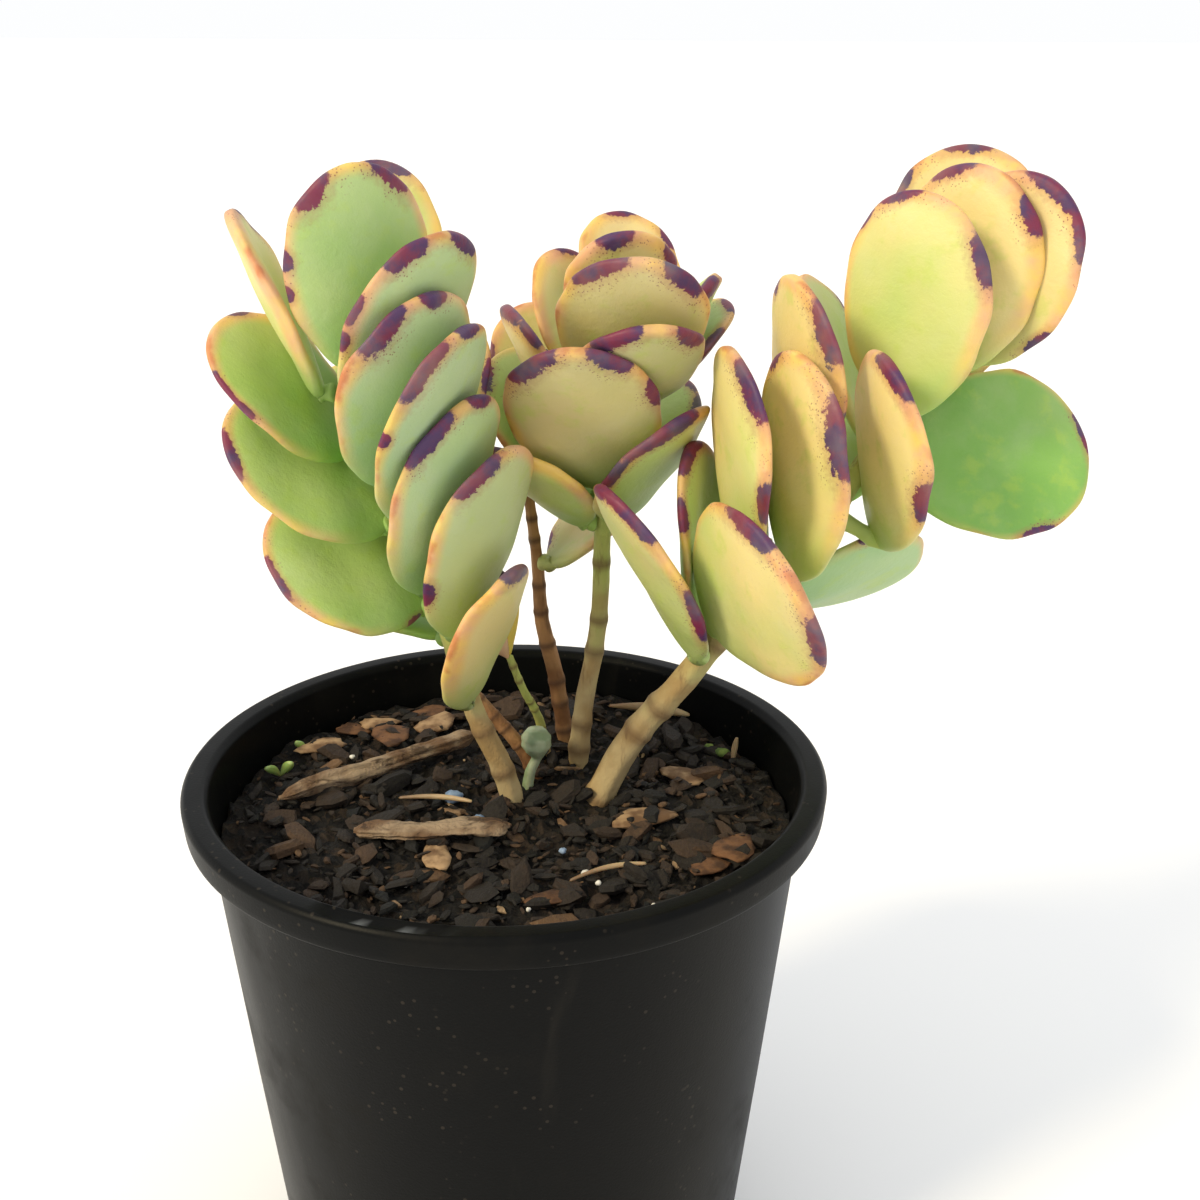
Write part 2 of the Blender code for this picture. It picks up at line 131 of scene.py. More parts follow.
def leaf_pose(name):
    """Where a leaf's blade starts, its three axes, its length and width, read from its CAD solid.

    The stalk's foot is the tight knot of corners nearest the stem. The normal is the direction in
    which the blade is thinnest, and the length axis is the one that mirrors the blade on itself.
    """
    points = node_points(name)
    line = stem_line_of(name)
    apart = np.linalg.norm(points[:, None] - points[None], axis=2)
    to_stem = np.linalg.norm(points[:, None] - line[None], axis=2).min(axis=1)
    knot = np.argmin(to_stem + 1.2 * np.sort(apart, axis=1)[:, 1:8].mean(axis=1))
    foot = points[apart[knot] < 4.2 * MM].mean(axis=0)
    blade = points[np.linalg.norm(points - foot, axis=1) > 5.0 * MM]
    centre = blade.mean(axis=0)
    normal = np.linalg.svd(blade - centre)[2][2]
    guess = centre - foot
    guess = unit(guess - normal * (guess @ normal))
    side = np.cross(normal, guess)
    best = None
    for angle in np.radians(np.linspace(-24, 24, 97)):
        along = math.cos(angle) * guess + math.sin(angle) * side
        across = np.cross(normal, along)
        flat = np.stack(((blade - centre) @ along, (blade - centre) @ across), axis=1)
        mirrored = flat * (1, -1)
        mirrored[:, 1] += flat[:, 1].max() + flat[:, 1].min()
        miss = np.linalg.norm(flat[:, None] - mirrored[None], axis=2).min(axis=1).mean()
        if best is None or miss < best[0]:
            best = (miss, along, across)
    along, across = best[1:]
    reach = (points - foot) @ along
    offset = (blade - centre) @ across
    middle = (offset.max() + offset.min()) / 2
    half_width = (offset.max() - offset.min()) / 2
    widest = ((blade - foot) @ along)[np.argsort(-np.abs(offset - middle))[:2]].mean()
    share = (np.cos(WIDEST_STATION) - np.cos(END_STATION)) / 2
    length = (reach.max() - widest) / share
    start = foot + along * (reach.max() - length * (1 - np.cos(END_STATION)) / 2)
    start += across * ((centre - start) @ across + middle)
    level = (blade - start) @ normal
    bend = np.abs(offset - middle) > 0.8 * half_width
    if level[bend].mean() < level[~bend].mean():
        normal = -normal
        across = -across
    cup = LEAF_CUP * (offset / half_width) ** 2
    start = start + normal * np.median((blade - start) @ normal - cup)
    return foot, start, np.array((along, across, normal)), length, 2 * half_width


def closed_skin(rows, sides):
    """Faces of a skin through rows of corners, closed by a pole at each end."""
    j = np.arange(sides)
    k = (j + 1) % sides
    low = 1 + np.arange(rows - 1)[:, None] * sides
    quads = np.stack((low + j, low + k, low + sides + k, low + sides + j), axis=-1).reshape(-1, 4)
    last = 1 + (rows - 1) * sides
    foot_fan = [(0, int(b), int(a)) for a, b in zip(1 + j, 1 + k)]
    tip_fan = [(int(a), int(b), 1 + rows * sides) for a, b in zip(last + j, last + k)]
    return quads.tolist() + foot_fan + tip_fan


def add_mesh(name, verts, faces, finish, **fields):
    """Make one smooth object from corners and faces, with a named float at every corner."""
    mesh = bpy.data.meshes.new(name)
    mesh.from_pydata(np.asarray(verts, float).tolist(), [], faces)
    mesh.shade_smooth()
    for field, values in fields.items():
        corners = mesh.attributes.new(field, "FLOAT", "POINT").data
        corners.foreach_set("value", np.asarray(values, np.float32))
    mesh.materials.append(finish)
    piece = bpy.data.objects.new(name, mesh)
    bpy.context.collection.objects.link(piece)
    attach(piece, "root")
    return piece


class Dye:
    """A value or colour on its way through a material. Sums and products of it add Math nodes."""

    def __init__(self, tree, socket):
        self.tree = tree
        self.socket = socket

    def step(self, kind, settings, sockets, out=0):
        """One more node of a kind: its settings first, then the values or links of its sockets."""
        node = self.tree.nodes.new(kind)
        for name, value in settings.items():
            if name != "stops":
                setattr(node, name, value)
                continue
            stops = node.color_ramp.elements
            for place, colour in value[2:]:
                stops.new(place)
            for stop, (place, colour) in zip(stops, value):
                stop.position = place
            for stop, (place, colour) in zip(stops, value):
                stop.color = (*colour, 1.0)
        for key, value in sockets.items():
            if isinstance(value, Dye):
                self.tree.links.new(value.socket, node.inputs[key])
            elif node.inputs[key].type == "RGBA":
                node.inputs[key].default_value = (*value, 1.0)
            else:
                node.inputs[key].default_value = value
        return Dye(self.tree, node.outputs[out])

    def maths(self, operation, first, second):
        """One Math node of two values."""
        return self.step("ShaderNodeMath", {"operation": operation}, {0: first, 1: second})

    def __add__(self, other):
        return self.maths("ADD", self, other)

    __radd__ = __add__

    def __sub__(self, other):
        return self.maths("SUBTRACT", self, other)

    def __rsub__(self, other):
        return self.maths("SUBTRACT", other, self)

    def __mul__(self, other):
        return self.maths("MULTIPLY", self, other)

    __rmul__ = __mul__

    def between(self, low, high):
        """0 at low, 1 at high, with a soft turn at both."""
        return self.step("ShaderNodeMapRange", {"interpolation_type": "SMOOTHSTEP"},
                         {"Value": self, "From Min": low, "From Max": high})

    def tint(self, low, high):
        """A colour from low to high as this value goes from 0 to 1."""
        return self.step("ShaderNodeMix", {"data_type": "RGBA"}, {0: self, 6: low, 7: high}, 2)


class Finish:
    """A material being made: its shader, its patterns, and the constants set on its shader."""

    def __init__(self, name, **constants):
        self.material = bpy.data.materials.new(name)
        self.material.use_nodes = True
        self.tree = self.material.node_tree
        self.shader = self.tree.nodes["Principled BSDF"]
        self.start = Dye(self.tree, None)
        for key, value in constants.items():
            self.shader.inputs[key.replace("_", " ")].default_value = value
        self.place = self.start.step("ShaderNodeTexCoord", {}, {}, "Object")

    def field(self, name):
        """A named float of the mesh."""
        return self.start.step("ShaderNodeAttribute", {"attribute_name": name}, {}, "Fac")

    def stretched(self, x, y, z):
        """The object's coordinates, scaled along each axis."""
        return self.start.step("ShaderNodeMapping", {}, {"Vector": self.place, "Scale": (x, y, z)})

    def noise(self, scale, detail=3.0, roughness=0.5, where=None, distortion=0.0):
        """Cloudy noise from 0 to 1."""
        return self.start.step("ShaderNodeTexNoise", {}, {
            "Vector": where or self.place, "Scale": scale, "Detail": detail,
            "Roughness": roughness, "Distortion": distortion})

    def cells(self, scale, out="Distance"):
        """Distance to scattered points, or each cell's colour."""
        return self.start.step("ShaderNodeTexVoronoi", {}, {"Vector": self.place, "Scale": scale}, out)

    def bump(self, height, strength, distance):
        """Raise the surface's shading by a height."""
        sockets = {"Height": height, "Strength": strength, "Distance": distance}
        self.wear(Normal=self.start.step("ShaderNodeBump", {}, sockets, "Normal"))

    def wear(self, **links):
        """Feed values that change over the surface to the shader."""
        for key, value in links.items():
            self.tree.links.new(value.socket, self.shader.inputs[key.replace("_", " ")])


def leaf_finish():
    """Green flesh under pale wax, bleached by sun, with an orange margin and purple dashes.
    Leaves turned away from the key light get a painted grey-blue cool shade.

    The margin band is where inset is small. A dash is where the stain field, roughened by fine
    noise, is above zero; freckles are small cells near the dashes.
    """
    leaf = Finish("waxy_leaf", Specular_IOR_Level=0.42, Subsurface_Weight=0.22, Subsurface_Scale=0.004)
    leaf.shader.inputs["Subsurface Radius"].default_value = (0.9, 1.0, 0.25)
    inset = leaf.field("inset")
    reach = leaf.field("reach")
    sunned = leaf.field("sunned")
    broad = leaf.noise(42.0, 2.0)
    mottle = leaf.noise(160.0, 4.0, 0.6)
    grain = leaf.noise(900.0, 4.0, 0.7)
    streak = leaf.noise(60.0, 3.0, 0.6, distortion=1.2)
    bleach = sunned + 0.75 * (broad - 0.5) + 0.30 * (reach - 0.5)
    flesh = bleach.between(0.0, 0.55).tint((0.17, 0.40, 0.035), (0.44, 0.57, 0.17))
    flesh = bleach.between(0.5, 1.05).tint(flesh, (0.76, 0.62, 0.26))
    flesh = (leaf.field("blush") * (0.55 + 0.45 * broad)).tint(flesh, (0.68, 0.48, 0.26))
    # Painted cool shade: a grey-blue tint, set per leaf, on leaves turned away from the key light.
    flesh = (leaf.field("bloom") * (0.6 + 0.4 * mottle)).tint(flesh, (0.40, 0.54, 0.40))
    flesh = ((mottle + 0.4 * (streak - 0.5)).between(0.52, 0.72) * 0.32).tint(flesh, (0.42, 0.56, 0.06))
    flesh = ((reach * -1.0 + 0.42).between(0.0, 0.4) * 0.45).tint(flesh, (0.20, 0.40, 0.09))
    warm = (3.0 - inset + 5.0 * (broad - 0.5) + 2.0 * (sunned - 0.5)).between(0.0, 3.0)
    peach = (streak.between(0.35, 0.65)).tint((0.80, 0.50, 0.10), (0.74, 0.36, 0.20))
    flesh = (warm * reach.between(0.05, 0.5) * 0.82).tint(flesh, peach)
    rust = (0.9 - inset + 2.6 * (mottle - 0.5)).between(0.0, 1.0)
    rust = rust * leaf.noise(95.0, 2.0).between(0.48, 0.6)
    flesh = (rust * reach.between(0.1, 0.5) * 0.75).tint(flesh, (0.46, 0.12, 0.04))
    stain = leaf.field("stain")
    ragged = (inset * 0.35).between(0.0, 1.0)
    spread = stain + (0.45 + 0.9 * ragged) * (grain - 0.5) + (0.3 + 0.5 * ragged) * (mottle - 0.5)
    halo = spread.between(-0.75, 0.05)
    freckle = (0.30 - leaf.cells(1500.0)).between(0.0, 0.10) * leaf.noise(150.0, 2.0).between(0.47, 0.58)
    freckle = freckle * (stain + 1.25).between(0.0, 0.9)
    flesh = (halo * 0.38).tint(flesh, (0.34, 0.13, 0.08))
    flesh = (freckle * 0.75).tint(flesh, (0.20, 0.045, 0.05))
    ink = mottle.between(0.4, 0.62).tint((0.17, 0.018, 0.055), (0.065, 0.026, 0.095))
    flesh = spread.between(0.0, 0.16).tint(flesh, ink)
    wax = leaf.noise(70.0, 3.0, 0.55).between(0.42, 0.75) * 0.14
    flesh = wax.tint(flesh, (0.66, 0.68, 0.50))
    leaf.wear(Base_Color=flesh, Roughness=0.36 + 0.22 * mottle + 0.06 * grain)
    leaf.bump(0.6 * grain + 1.4 * mottle + 0.8 * streak, 0.35, 0.0006)
    return leaf.material


def leaf_surface(name, seed):
    """A fine leaf in the place of its CAD solid.

    Each ring of the blade is a cupped lens across the leaf: half-width times cosine across, half
    thickness times sine through it, plus a cup that grows with the square of the distance from the
    middle. The margin waves gently, the upper face has a shallow furrow, and the stalk's rings run
    from inside the stem to the blade.
    """
    foot, start, axes, length, width = leaf_pose(name)
    along, across, normal = axes
    rng = np.random.default_rng(seed)
    phase = rng.uniform(0, 2 * math.pi, 4)
    station = np.radians(np.linspace(FIRST_STATION, LAST_STATION, BLADE_STATIONS))[:, None]
    turn = (np.arange(LEAF_SIDES) * 2 * math.pi / LEAF_SIDES)[None]
    edge = np.sign(np.cos(turn))
    scallop = 1 + 0.012 * np.sin(7 * station + phase[0] + edge) + 0.01 * np.sin(12 * station + phase[1])
    half = width / 2 * outline(station) * scallop
    x = length * (0.5 - 0.5 * np.cos(station)) * (1 + 0 * turn)
    y = half * np.cos(turn)
    lens = np.sign(np.sin(turn)) * np.abs(np.sin(turn)) ** EDGE_ROUNDNESS
    lobe = np.abs(2 * y / width)
    z = LEAF_HALF_THICKNESS * np.sin(station) ** THICKNESS_SPREAD * lens + LEAF_CUP * lobe**2
    z = z + 0.45 * MM * lobe**3 * np.sin(3.2 * station + phase[2] + 1.3 * edge)
    on_top = np.sin(turn) > 0
    furrow = FURROW_DEPTH * np.exp(-((y / (0.09 * width)) ** 2)) * np.sin(station) ** 2 * on_top
    z = z - furrow + 0.25 * MM * np.sin(station * 5 + 9 * y / width + phase[3]) * np.sin(station)
    blade = start + x[..., None] * along + y[..., None] * across + z[..., None] * normal
    root = stem_line_of(name)
    root = root[np.linalg.norm(root - foot, axis=1).argmin()]
    origin = foot + unit(root - foot) * STALK_SINK
    share = np.linspace(0.0, 1.0, STALK_RINGS + 1)[:-1, None]
    joint = blade[0].mean(axis=0)
    knee = foot + (joint - foot) * 0.45 + unit(foot - root) * 0.4 * MM
    line = (1 - share) ** 2 * origin + 2 * share * (1 - share) * knee + share**2 * joint
    flare = STALK_RADIUS * (1.18 - 0.3 * np.sin(math.pi * share) ** 2)
    ahead = unit(joint - origin)
    level = unit(across - ahead * (across @ ahead))
    up = np.cross(ahead, level)
    up = up if up @ normal > 0 else -up
    wide = (1 + 0.35 * share)[..., None]
    ring = np.cos(turn)[..., None] * level * wide + np.sin(turn)[..., None] * up
    rings = np.concatenate([line[:, None] + flare[..., None] * ring, blade])
    verts = np.concatenate([[origin], rings.reshape(-1, 3), [start + along * length]])
    faces = closed_skin(len(rings), LEAF_SIDES)
    if np.linalg.det(np.array((ahead, level, up))) < 0:
        faces = [face[::-1] for face in faces]

    rim_station = np.linspace(0.05, math.pi, 160)
    rim_x = length * (0.5 - 0.5 * np.cos(rim_station))
    rim_y = width / 2 * outline(rim_station)
    rim = np.concatenate([np.stack((rim_x, rim_y), 1)[::-1], np.stack((rim_x, -rim_y), 1)])
    flat = np.stack((x, y), axis=-1).reshape(-1, 2)
    gap = np.linalg.norm(flat[:, None] - rim[None], axis=2)
    inset = gap.min(axis=1)
    swing = np.arctan2(flat[:, 1], flat[:, 0] - 0.5 * length)
    stain = np.full(len(flat), -2.0)
    for clock, half_run, depth in leaf_dashes(name, rng):
        middle = math.radians(clock)
        bow = np.abs((swing - middle + math.pi) % (2 * math.pi) - math.pi) * 0.42 * (length + width) / 2
        miss = np.sqrt((bow / (half_run * MM)) ** 2 + (inset / (depth * MM)) ** 2)
        stain = np.maximum(stain, 1.0 - miss)
    lead = 1 + STALK_RINGS * LEAF_SIDES

    def pad(values, low, high):
        """A field of the blade with one value for the whole stalk and one for the tip."""
        return np.concatenate([np.full(lead, low), values, [high]])

    fields = {
        "inset": pad(inset / MM, 6.0, 0.0),
        "reach": pad((x / length).reshape(-1), 0.0, 1.0),
        "stain": pad(np.clip(stain, -2, 1), -2.0, stain[-1]),
        "sunned": np.full(len(verts), SUNNED.get(name, 0.45) + rng.uniform(-0.05, 0.05)),
        "blush": np.full(len(verts), BLUSH.get(name, 0.0)),
        "bloom": np.full(len(verts), COOL_SHADE.get(name, 0.0)),
    }
    return verts, faces, fields


# How bleached a leaf is, from 0, in the shade, to 1, in full sun; how far it has blushed beige;
# and how strong its painted cool shade is: a grey-blue tint on leaves turned away from the key light.
SUNNED = {
    "left_leaf_01": 0.80, "left_leaf_03": 0.45, "left_leaf_07": 0.45, "left_leaf_11": 0.40,
    "left_leaf_14": 0.42, "left_leaf_15": 0.75, "left_leaf_16": 0.70, "right_leaf_16": 0.92,
    "right_leaf_17": 0.90, "right_leaf_18": 0.95, "right_leaf_14": 0.78, "right_leaf_03": 0.88,
    "right_leaf_05": 0.90, "right_leaf_08": 0.92, "right_leaf_09": 0.98, "right_leaf_11": 0.90,
    "right_leaf_12": 0.10, "right_leaf_07": 0.30, "right_leaf_13": 0.60, "right_leaf_01": 0.60,
    "centre_leaf_11": 0.75, "centre_leaf_13": 0.80, "centre_leaf_07": 0.85, "centre_leaf_10": 0.80,
    "centre_leaf_01": 0.55, "centre_leaf_02": 0.70, "back_leaf_01": 0.85, "back_leaf_02": 0.80,
}
BLUSH = {
    "centre_leaf_04": 0.75, "centre_leaf_08": 0.80, "centre_leaf_06": 0.75, "centre_leaf_11": 0.45,
    "centre_leaf_13": 0.40, "back_leaf_01": 0.80, "right_leaf_04": 0.60, "right_leaf_01": 0.35,
    "left_leaf_01": 0.35, "left_leaf_04": 0.35, "right_leaf_17": 0.30,
}
# Painted cool shade, per leaf: grey-blue where a leaf faces away from the key light.
COOL_SHADE = {
    "left_leaf_12": 0.55, "left_leaf_10": 0.65, "left_leaf_08": 0.70, "left_leaf_05": 0.55,
    "left_leaf_04": 0.40, "left_leaf_14": 0.25, "right_leaf_04": 0.50, "right_leaf_07": 0.55,
    "right_leaf_12": 0.15, "centre_leaf_06": 0.20,
}

# The purple dashes of the leaves that face forward: how far round from the tip, in degrees, then
# half the dash's length and its depth in mm. Other leaves get two to four of their own.
DASHES = {
    "left_leaf_16": ((-5, 4, 2.6),),
    "left_leaf_14": ((-25, 3.6, 3.0), (25, 4.2, 2.8), (-70, 2.2, 1.8), (-95, 2.0, 1.2)),
    "left_leaf_12": ((-30, 4.2, 2.8), (12, 4.2, 2.6), (-75, 3.5, 1.0), (-100, 2.6, 1.4)),
    "left_leaf_10": ((-35, 5.2, 3.6), (0, 2.8, 2.4)),
    "left_leaf_08": ((-30, 6.0, 3.2), (5, 3.0, 1.6), (-75, 1.8, 1.6)),
    "left_leaf_05": ((-35, 6.0, 2.8), (5, 3.4, 2.2)),
    "left_leaf_04": ((-25, 5.0, 2.8), (-120, 3.6, 2.0)),
    "left_leaf_01": ((125, 8.0, 2.0), (5, 4.0, 2.4)),
    "left_leaf_11": ((-20, 2.2, 1.4), (55, 4.0, 1.0), (75, 2.4, 1.0)),
    "left_leaf_07": ((35, 5.8, 1.8), (-20, 1.8, 1.4)),
    "left_leaf_03": ((40, 5.0, 1.4), (165, 2.2, 1.2)),
    "centre_leaf_04": ((-25, 6.0, 3.4), (25, 4.4, 3.0), (70, 4.6, 2.4)),
    "centre_leaf_08": ((-35, 6.0, 3.0), (25, 5.0, 3.0)),
    "centre_leaf_06": ((-30, 5.0, 2.8), (30, 4.4, 3.0)),
    "centre_leaf_11": ((5, 3.4, 2.4), (70, 3.4, 2.2)),
    "centre_leaf_13": ((5, 3.2, 2.2), (-50, 3.0, 2.0)),
    "centre_leaf_12": ((-35, 4.6, 2.4),),
    "centre_leaf_07": ((10, 4.4, 2.2), (40, 3.0, 1.6)),
    "centre_leaf_10": ((-10, 3.6, 1.8),),
    "back_leaf_02": ((-25, 3.0, 2.0), (60, 2.6, 1.6)),
    "centre_leaf_01": ((-25, 9.0, 2.6), (-75, 4.4, 1.8)),
    "right_leaf_01": ((25, 6.0, 2.2), (115, 8.5, 2.0), (0, 2.4, 2.2)),
    "back_leaf_01": ((145, 3.0, 2.4),),
    "right_leaf_18": ((0, 5.0, 2.2), (50, 4.0, 2.0)),
    "right_leaf_16": ((-15, 4.6, 2.4), (45, 4.2, 2.6)),
    "right_leaf_17": ((-10, 7.0, 2.6), (-35, 6.0, 2.0), (-120, 4.0, 1.6)),
    "right_leaf_14": ((-10, 4.4, 2.0), (55, 5.4, 2.8), (-35, 2.6, 1.2)),
    "right_leaf_13": ((-45, 4.6, 2.4),),
    "right_leaf_09": ((-20, 2.4, 2.6), (50, 6.8, 3.8), (115, 3.4, 3.0)),
    "right_leaf_11": ((10, 5.6, 2.6), (95, 5.8, 3.2)),
    "right_leaf_08": ((-20, 3.6, 2.6), (60, 9.0, 4.2)),
    "right_leaf_05": ((35, 6.4, 3.4), (110, 5.2, 2.4)),
    "right_leaf_03": ((-35, 7.2, 3.2), (45, 6.4, 3.4)),
    "right_leaf_12": ((5, 4.6, 1.6), (-75, 4.0, 1.6)),
    "right_leaf_04": ((-80, 8.0, 1.2),),
    "right_leaf_07": ((-100, 5.6, 1.2),),
    "right_leaf_02": ((10, 5.0, 2.4), (55, 3.4, 2.0)),
}


def leaf_dashes(name, rng):
    """The dashes of one leaf: its own list, or a few scattered over the upper part of the margin."""
    if name in DASHES:
        return DASHES[name]
    count = rng.integers(2, 5)
    clocks = np.sort(rng.uniform(-110, 110, count))
    return [(clock, rng.uniform(2.5, 6.0), rng.uniform(1.3, 2.8)) for clock in clocks]


waxy_leaf = leaf_finish()
leaf_names = sorted(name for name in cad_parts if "_leaf_" in name)
for seed, name in enumerate(leaf_names):
    verts, faces, fields = leaf_surface(name, seed)
    leaf = add_mesh("fine_" + name, verts, faces, waxy_leaf, **fields)
    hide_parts(name)

# ---------------------------------------------------------------- stems
# Round woody stems, tan and grey at the foot and green towards the tips, ringed with the scars of
# fallen leaves. One shoot and one stub have dried brown.

STEM_SIDES = 28
STEM_RINGS = 150
SCARS = 10
SCAR_SWELL = 0.14


def stem_finish(name, low, high, scar, green_at, green):
    """Tan bark that turns green with height, crossed by scar rings and fine lengthwise cracks."""
    bark = Finish(name, Specular_IOR_Level=0.3)
    height = bark.field("climb")
    ring = bark.field("scar")
    fibre = bark.noise(260.0, 4.0, 0.65, where=bark.stretched(1.0, 1.0, 0.22))
    patch = bark.noise(90.0, 3.0)
    grain = bark.noise(1400.0, 3.0, 0.6)
    colour = patch.between(0.38, 0.64).tint(low, high)
    alive = (height + 0.5 * (patch - 0.5)).between(green_at, green_at + 0.35)
    colour = alive.tint(colour, green)
    colour = (fibre.between(0.55, 0.68) * 0.55).tint(colour, scar)
    colour = (ring * (0.5 + 0.5 * patch)).tint(colour, scar)
    bark.wear(Base_Color=colour, Roughness=0.62 + 0.25 * fibre)
    bark.bump(1.6 * fibre + 0.5 * grain + 0.8 * patch, 0.6, 0.0007)
    return bark.material


def rod_surface(line, radii, seed, scars, swell):
    """A knobbly rod along a centre line.

    The radius at each ring is the stem's own, plus a bump at each scar that falls off with the
    square of the distance from it, plus low waves round and along. Both ends close at a pole.
    """
    rng = np.random.default_rng(seed)
    count = len(line)
    along = np.gradient(line, axis=0)
    along /= np.linalg.norm(along, axis=1)[:, None]
    side = np.cross(along, (0.0, -1.0, 0.13))
    side /= np.linalg.norm(side, axis=1)[:, None]
    front = np.cross(along, side)
    share = np.linspace(0, 1, count)[:, None]
    turn = (np.arange(STEM_SIDES) * 2 * math.pi / STEM_SIDES)[None]
    places = (np.arange(scars) + rng.uniform(0.2, 0.8, scars)) / scars
    near = np.zeros_like(share)
    for place in places:
        near = np.maximum(near, np.exp(-(((share - place) * count / 1.6) ** 2)))
    waves = 0.05 * np.sin(2 * turn + 9 * share + seed) + 0.035 * np.sin(5 * turn - 23 * share)
    waves = waves + 0.025 * np.sin(9 * turn + 41 * share)
    radius = radii[:, None] * (1 + swell * near + waves)
    ring = np.cos(turn)[..., None] * side[:, None] + np.sin(turn)[..., None] * front[:, None]
    rings = line[:, None] + radius[..., None] * ring
    verts = np.concatenate([[line[0]], rings.reshape(-1, 3), [line[-1] + along[-1] * radii[-1] * 0.6]])
    climb = np.concatenate([[0.0], (share + 0 * turn).reshape(-1), [1.0]])
    scar = np.concatenate([[0.0], (near + 0 * turn).reshape(-1), [0.0]])
    return verts, closed_skin(count, STEM_SIDES), {"climb": climb, "scar": scar}


def resampled(line, radii, count):
    """The centre line and radii at more places, evenly spaced along it."""
    run = np.concatenate([[0], np.cumsum(np.linalg.norm(np.diff(line, axis=0), axis=1))])
    at = np.linspace(0, run[-1], count)
    return np.stack([np.interp(at, run, line[:, i]) for i in range(3)], 1), np.interp(at, run, radii)


living_bark = stem_finish(
    "living_bark", low=(0.36, 0.24, 0.10), high=(0.48, 0.37, 0.19), scar=(0.15, 0.085, 0.04),
    green_at=0.30, green=(0.42, 0.46, 0.12))
dry_bark = stem_finish(
    "dry_bark", low=(0.20, 0.09, 0.035), high=(0.36, 0.19, 0.08), scar=(0.07, 0.035, 0.02),
    green_at=1.4, green=(0.36, 0.25, 0.12))
for seed, (name, (line, radii)) in enumerate(STEM_LINES.items()):
    dry = name in ("back_stem", "stub_stem")
    if name == "sprout":
        continue
    line, radii = resampled(line, radii, STEM_RINGS)
    verts, faces, fields = rod_surface(line, radii, seed, SCARS, SCAR_SWELL)
    stem = add_mesh("fine_" + name, verts, faces, dry_bark if dry else living_bark, **fields)
    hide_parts(name)

# ---------------------------------------------------------------- sprout
# A young shoot that has just pushed through the mix: a thin neck under one round, folded,
# blue-green pair of first leaves.


def sprout_surface():
    """The sprout's own spine with a finer skin, and a crease across its ball."""
    line, radii = spine("sprout", 60)
    share = np.linspace(0, 1, len(line))[:, None]
    turn = (np.arange(STEM_SIDES) * 2 * math.pi / STEM_SIDES)[None]
    crease = 1 - 0.10 * np.exp(-((np.sin(turn - 0.5) / 0.16) ** 2)) * (share > 0.45)
    radius = radii[:, None] * crease
    ring = np.stack((np.cos(turn), np.sin(turn), 0 * turn), axis=-1)
    rings = line[:, None] + radius[..., None] * ring
    tip = line[-1] + (0, 0, 0.1 * MM)
    return np.concatenate([[line[0]], rings.reshape(-1, 3), [tip]]), closed_skin(len(line), STEM_SIDES)


sprout_skin = Finish("sprout_skin", Roughness=0.5, Subsurface_Weight=0.15, Subsurface_Scale=0.002)
sprout_tone = sprout_skin.noise(220.0, 3.0)
sprout_tone = sprout_tone.between(0.35, 0.65).tint((0.20, 0.27, 0.14), (0.40, 0.46, 0.30))
sprout_skin.wear(Base_Color=sprout_tone)
sprout_skin.bump(sprout_skin.noise(900.0), 0.3, 0.0003)
verts, faces = sprout_surface()
sprout = add_mesh("fine_sprout", verts, faces, sprout_skin.material)
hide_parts("sprout")

# ---------------------------------------------------------------- pot
# A thin-walled nursery pot, blow-moulded in black plastic and turned out and down at the rim,
# with drain holes round its floor and a shallow slot in the rim for a price label.

POT_SIDES = 192
POT_SLOT = (243.0, 264.0)
SCUFFS = (249.6, 257.4)
DRAIN_HOLES = 8
DRAIN_RADIUS = 4.5 * MM
DRAIN_CIRCLE = 37 * MM
POT_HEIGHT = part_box("nursery_pot")[1].z


def fillet(points, radius, steps=5):
    """Round each inner corner of an outline: a quadratic curve between points cut back from it."""
    points = np.array(points, float)
    out = [points[0]]
    for before, corner, after in zip(points[:-2], points[1:-1], points[2:]):
        back = min(radius, 0.45 * np.linalg.norm(corner - before))
        on = min(radius, 0.45 * np.linalg.norm(after - corner))
        first = corner + unit(before - corner) * back
        last = corner + unit(after - corner) * on
        for t in np.linspace(0, 1, steps):
            out.append((1 - t) ** 2 * first + 2 * t * (1 - t) * corner + t**2 * last)
    out.append(points[-1])
    return np.array(out)


def wall(height):
    """The tapered wall's outer radius at a height, both in mm."""
    return 65.6 - 0.102 * (130.0 - height)


def pot_surface():
    """The pot's outline, from the middle of its underside round the rim to the middle of its floor,
    turned about its axis. The label slot lowers the rim's top between two headings."""
    base = wall(0)
    profile = [(6, 0), (base - 2.5, 0), (base, 2.5), (wall(60), 60), (wall(128.5), 128.5), (67.8, 128.5),
               (67.8, 123.2), (68.3, 123), (69.3, 123), (69.55, 124.2), (69.98, 128.9), (69.1, 130),
               (65.3, 130), (wall(130) - 1.4, 128.6), (wall(100) - 1.4, 100), (wall(60) - 1.4, 60),
               (base - 1.1, 4), (base - 2.9, 2), (6, 2)]
    curve = fillet(profile, 0.55) * MM
    turn = (np.arange(POT_SIDES) * 2 * math.pi / POT_SIDES)[None]
    radius, height = curve[:, :1], curve[:, 1:]
    heading = np.degrees(turn)
    first, last = POT_SLOT
    inside = np.clip((heading - first) / 0.9, 0, 1) * np.clip((last - heading) / 0.9, 0, 1)
    on_top = (height > (POT_HEIGHT - 0.3 * MM)) & (radius > 65.7 * MM) & (radius < 68.9 * MM)
    height = height - 0.7 * MM * inside * on_top
    wobble = 1 + 0.0012 * np.sin(3 * turn + 0.6) * (height / POT_HEIGHT)
    x = radius * np.cos(turn) * wobble
    y = radius * np.sin(turn) * wobble
    rings = np.stack((x, y, height + 0 * turn), axis=-1)
    verts = np.concatenate([[(0, 0, 0)], rings.reshape(-1, 3), [(0, 0, 2 * MM)]])
    away = np.abs(heading[..., None] - np.array(SCUFFS)).min(axis=-1)
    scuff = np.clip(1.6 - away, 0, 1) * on_top * (radius > 66.5 * MM)
    scuff = np.concatenate([[0.0], scuff.reshape(-1), [0.0]])
    return verts, closed_skin(len(rings), POT_SIDES), {"scuff": scuff}


